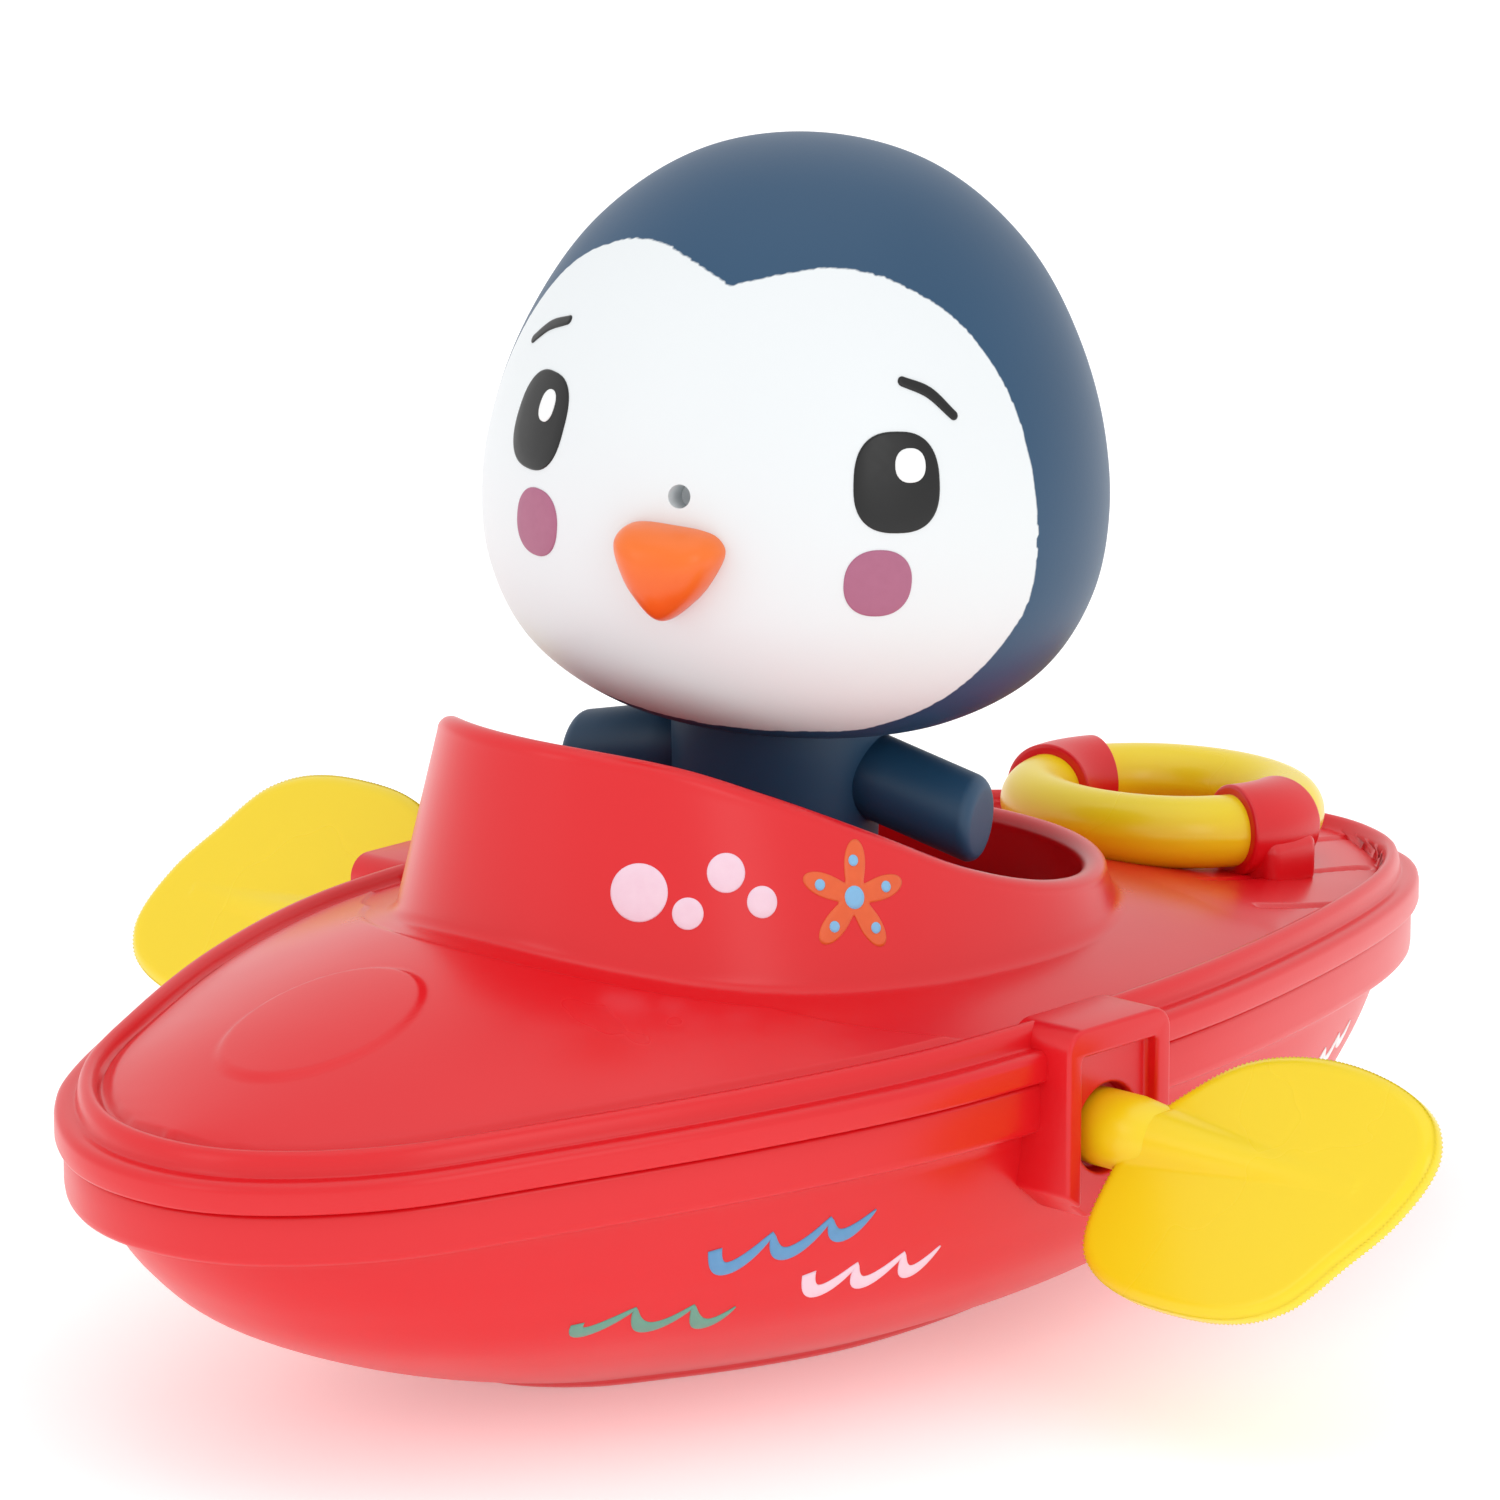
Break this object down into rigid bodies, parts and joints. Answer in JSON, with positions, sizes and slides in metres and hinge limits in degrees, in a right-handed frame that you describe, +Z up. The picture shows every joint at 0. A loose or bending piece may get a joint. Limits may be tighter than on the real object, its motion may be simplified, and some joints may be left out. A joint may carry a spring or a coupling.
{
  "type": "toy paddle boat",
  "caption": "Wind-up bath boat with side paddles, a raised cockpit holding a loose squirting penguin, and a life ring strapped on the aft deck.",
  "frame": {"origin": "centre of the length and beam at the level the boat stands on", "axes": "+X to the bow, +Y to port, +Z up"},
  "size_m": [0.2, 0.193, 0.1332],
  "materials": {
    "red_plastic": "moulded, satin gloss",
    "yellow_plastic": "moulded, satin gloss",
    "navy_vinyl": "soft matt vinyl with painted face",
    "grey_plastic": "moulded",
    "white_acetal": "moulded gear plastic",
    "steel": "zinc plated",
    "spring_steel": "blued strip",
    "brass": "turned",
    "black_rubber": "moulded"
  },
  "bodies": {
    "boat": {"hull_shell": "red_plastic", "deck_shell": "red_plastic", "axle_bracket_port": "red_plastic", "axle_bracket_starboard": "red_plastic", "ring_strap_port": "red_plastic", "ring_strap_starboard": "red_plastic", "cockpit_tub": "red_plastic", "life_ring": "yellow_plastic", "motor_case": "grey_plastic", "motor_cover": "grey_plastic", "intermediate_shaft": "steel", "spring_arbor": "steel", "motor_screws": "steel", "hull_screws": "steel", "axle_bush_port": "brass", "axle_bush_starboard": "brass", "axle_seal_port": "black_rubber", "axle_seal_starboard": "black_rubber", "hull_gasket": "black_rubber"},
    "paddle_wheel": {"paddle_axle": "steel", "paddle_port": "yellow_plastic", "paddle_starboard": "yellow_plastic", "output_pinion": "brass"},
    "stage_gear": {"intermediate_gear": "white_acetal"},
    "drum": {"spring_drum": "white_acetal", "mainspring": "spring_steel"},
    "figure": {"penguin_figure": "navy_vinyl"}
  },
  "joints": [
    {"name": "paddle_spin", "type": "hinge", "parent": "boat", "child": "paddle_wheel", "pos_m": [0.0052, 0, 0.0305], "axis": [0, 1, 0], "continuous": true},
    {"name": "stage_spin", "type": "hinge", "parent": "boat", "child": "stage_gear", "pos_m": [-0.00328, 0, 0.01693], "axis": [0, 1, 0], "continuous": true},
    {"name": "drum_spin", "type": "hinge", "parent": "boat", "child": "drum", "pos_m": [-0.01922, 0, 0.01833], "axis": [0, 1, 0], "continuous": true},
    {"name": "penguin_lift", "type": "slide", "parent": "boat", "child": "figure", "axis": [0, 0, 1], "range_m": [0, 0.07]}
  ],
  "couplings": [
    {"joint": "stage_spin", "follows": "paddle_spin", "ratio": -0.33333},
    {"joint": "drum_spin", "follows": "paddle_spin", "ratio": 0.11111}
  ]
}
